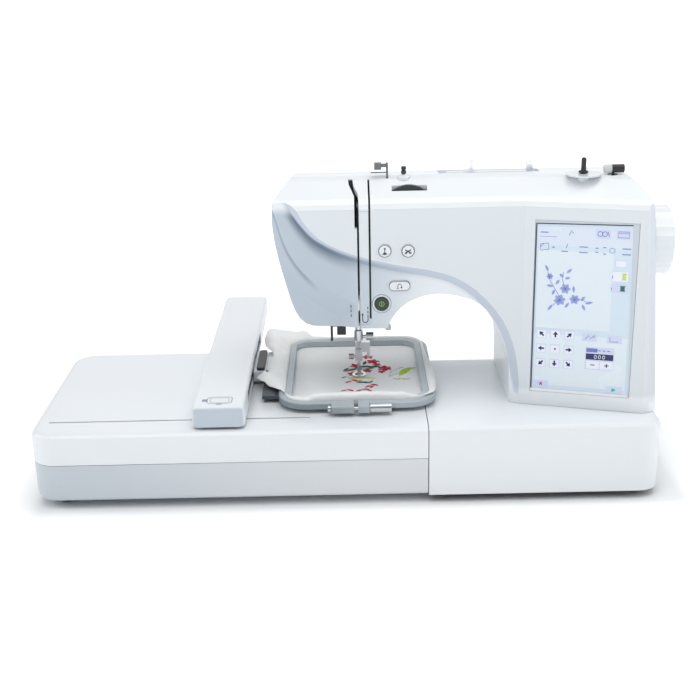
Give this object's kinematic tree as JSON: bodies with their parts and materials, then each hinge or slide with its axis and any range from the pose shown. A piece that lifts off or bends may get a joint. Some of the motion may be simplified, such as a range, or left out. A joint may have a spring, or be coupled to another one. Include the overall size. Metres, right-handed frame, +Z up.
{
  "type": "embroidery machine",
  "caption": "Household computerised embroidery and sewing machine with a side screen, a fitted embroidery unit, a travelling carriage arm and a clamped hoop of fabric.",
  "frame": {"origin": "middle of the footprint, at the level of the desk", "axes": "+Z up, +X towards the handwheel, +Y from the front face to the back"},
  "size_m": [0.69, 0.4, 0.3484],
  "materials": {
    "board": "circuit board",
    "cast": "die cast",
    "clear": "clear moulding",
    "cloth": "plain woven cotton",
    "dark": "black moulding",
    "glass": "display glass",
    "green": "green button",
    "grey": "mid grey moulding",
    "rubber": "matt rubber",
    "shell": "satin moulded shell",
    "steel": "polished steel",
    "trim": "light grey moulding"
  },
  "bodies": {
    "machine": {"base_cover": "shell", "base_pan": "dark", "base_foot_front_left": "rubber", "base_foot_front_right": "rubber", "base_foot_back_left": "rubber", "base_foot_back_right": "rubber", "power_inlet": "dark", "free_arm_cover": "shell", "needle_plate": "steel", "bobbin_cover": "clear", "bobbin": "clear", "main_frame": "cast", "timing_belt": "rubber", "drive_motor": "dark", "drive_belt": "rubber", "front_cover": "shell", "rear_cover": "shell", "thread_channel_cover": "trim", "touch_screen": "glass", "main_board": "board", "top_thread_guide": "steel", "bobbin_winding_guide": "dark", "winder_seat": "grey", "winder_stopper": "dark", "spool_pin": "trim"},
    "shaft": {"main_shaft": "steel", "handwheel": "shell"},
    "lower": {"lower_shaft": "steel"},
    "hook": {"rotary_hook": "steel"},
    "motor": {"motor_pulley": "steel"},
    "needle_unit": {"needle_bar": "steel", "needle_clamp": "steel", "needle": "steel"},
    "take_up": {"take_up_lever": "steel"},
    "presser": {"presser_bar": "steel", "embroidery_foot": "steel"},
    "lifter": {"presser_lever": "trim"},
    "needle_button": {"needle_position_button": "trim"},
    "cutter_button": {"thread_cutter_button": "trim"},
    "lock_button": {"lock_stitch_button": "trim"},
    "start_button": {"start_stop_button": "green"},
    "dial": {"tension_dial": "dark"},
    "winder": {"winder_spindle": "dark"},
    "cap": {"spool_cap": "trim"},
    "threader": {"needle_threader": "dark"},
    "rocker": {"power_switch": "dark"},
    "feed": {"feed_dog": "steel"},
    "unit": {"unit_top_cover": "shell", "unit_lower_cover": "shell", "unit_rail": "steel", "unit_foot_front_left": "rubber", "unit_foot_back_left": "rubber"},
    "arm": {"arm_cover": "shell", "arm_slide": "cast"},
    "hoop": {"hoop_carriage": "trim", "hoop_outer_frame": "grey", "hoop_inner_frame": "grey", "hooped_fabric": "cloth"},
    "clamp": {"hoop_clamp_screw": "steel"},
    "lock": {"hoop_lock_lever": "dark"}
  },
  "joints": [
    {"name": "main_shaft_turn", "type": "hinge", "parent": "machine", "child": "shaft", "pos_m": [0.333, -0.058, 0.245], "axis": [1, 0, 0], "continuous": true},
    {"name": "lower_shaft_turn", "type": "hinge", "parent": "machine", "child": "lower", "pos_m": [0.113, -0.058, 0.04], "axis": [1, 0, 0], "continuous": true},
    {"name": "hook_turn", "type": "hinge", "parent": "machine", "child": "hook", "pos_m": [0.003, -0.0753, 0.06], "axis": [0, 0, 1], "continuous": true},
    {"name": "motor_turn", "type": "hinge", "parent": "machine", "child": "motor", "pos_m": [0.233, -0.087, 0.15], "axis": [1, 0, 0], "continuous": true},
    {"name": "needle_stroke", "type": "slide", "parent": "machine", "child": "needle_unit", "axis": [0, 0, 1], "range_m": [-0.03, 0]},
    {"name": "take_up_swing", "type": "hinge", "parent": "machine", "child": "take_up", "pos_m": [-0.002, -0.085, 0.262], "axis": [1, 0, 0], "range_deg": [0, 36]},
    {"name": "presser_lift", "type": "slide", "parent": "machine", "child": "presser", "axis": [0, 0, 1], "range_m": [0, 0.008]},
    {"name": "presser_lever_swing", "type": "hinge", "parent": "machine", "child": "lifter", "pos_m": [0.003, -0.007, 0.221], "axis": [1, 0, 0], "range_deg": [0, 35]},
    {"name": "needle_button_press", "type": "slide", "parent": "machine", "child": "needle_button", "axis": [0, 1, 0], "range_m": [0, 0.0015], "stiffness_N_per_m": 600},
    {"name": "cutter_button_press", "type": "slide", "parent": "machine", "child": "cutter_button", "axis": [0, 1, 0], "range_m": [0, 0.0015], "stiffness_N_per_m": 600},
    {"name": "lock_button_press", "type": "slide", "parent": "machine", "child": "lock_button", "axis": [0, 1, 0], "range_m": [0, 0.0015], "stiffness_N_per_m": 600},
    {"name": "start_button_press", "type": "slide", "parent": "machine", "child": "start_button", "axis": [0, 1, 0], "range_m": [0, 0.0015], "stiffness_N_per_m": 600},
    {"name": "tension_dial_turn", "type": "hinge", "parent": "machine", "child": "dial", "pos_m": [0.0572, -0.118, 0.2975], "axis": [0, 1, 0], "range_deg": [-150, 150]},
    {"name": "winder_spin", "type": "hinge", "parent": "machine", "child": "winder", "pos_m": [0.2365, -0.12, 0.335], "axis": [0, 0, 1], "continuous": true},
    {"name": "spool_cap_slide", "type": "slide", "parent": "machine", "child": "cap", "axis": [1, 0, 0], "range_m": [-0.022, 0]},
    {"name": "threader_lower", "type": "slide", "parent": "machine", "child": "threader", "axis": [0, 0, 1], "range_m": [-0.03, 0]},
    {"name": "power_switch_rock", "type": "hinge", "parent": "machine", "child": "rocker", "pos_m": [0.314, -0.076, 0.041], "axis": [0, 1, 0], "range_deg": [0, 14]},
    {"name": "feed_dog_lift", "type": "slide", "parent": "machine", "child": "feed", "axis": [0, 0, 1], "range_m": [-0.0015, 0.0012]},
    {"name": "unit_detach", "type": "slide", "parent": "machine", "child": "unit", "axis": [1, 0, 0], "range_m": [-0.06, 0]},
    {"name": "arm_travel", "type": "slide", "parent": "unit", "child": "arm", "axis": [1, 0, 0], "range_m": [-0.06, 0.056]},
    {"name": "hoop_travel", "type": "slide", "parent": "arm", "child": "hoop", "axis": [0, 1, 0], "range_m": [-0.084, 0.069]},
    {"name": "clamp_screw_turn", "type": "hinge", "parent": "hoop", "child": "clamp", "pos_m": [0.013, -0.1615, 0.0933], "axis": [1, 0, 0], "continuous": true},
    {"name": "hoop_lock_swing", "type": "hinge", "parent": "hoop", "child": "lock", "pos_m": [-0.1096, -0.0085, 0.103], "axis": [0, 0, 1], "range_deg": [0, 40]}
  ],
  "couplings": [
    {"joint": "lower_shaft_turn", "follows": "main_shaft_turn", "ratio": 1},
    {"joint": "hook_turn", "follows": "main_shaft_turn", "ratio": 2},
    {"joint": "motor_turn", "follows": "main_shaft_turn", "ratio": 3.7143},
    {"joint": "presser_lever_swing", "follows": "presser_lift", "rad_per_m": 76.358}
  ]
}
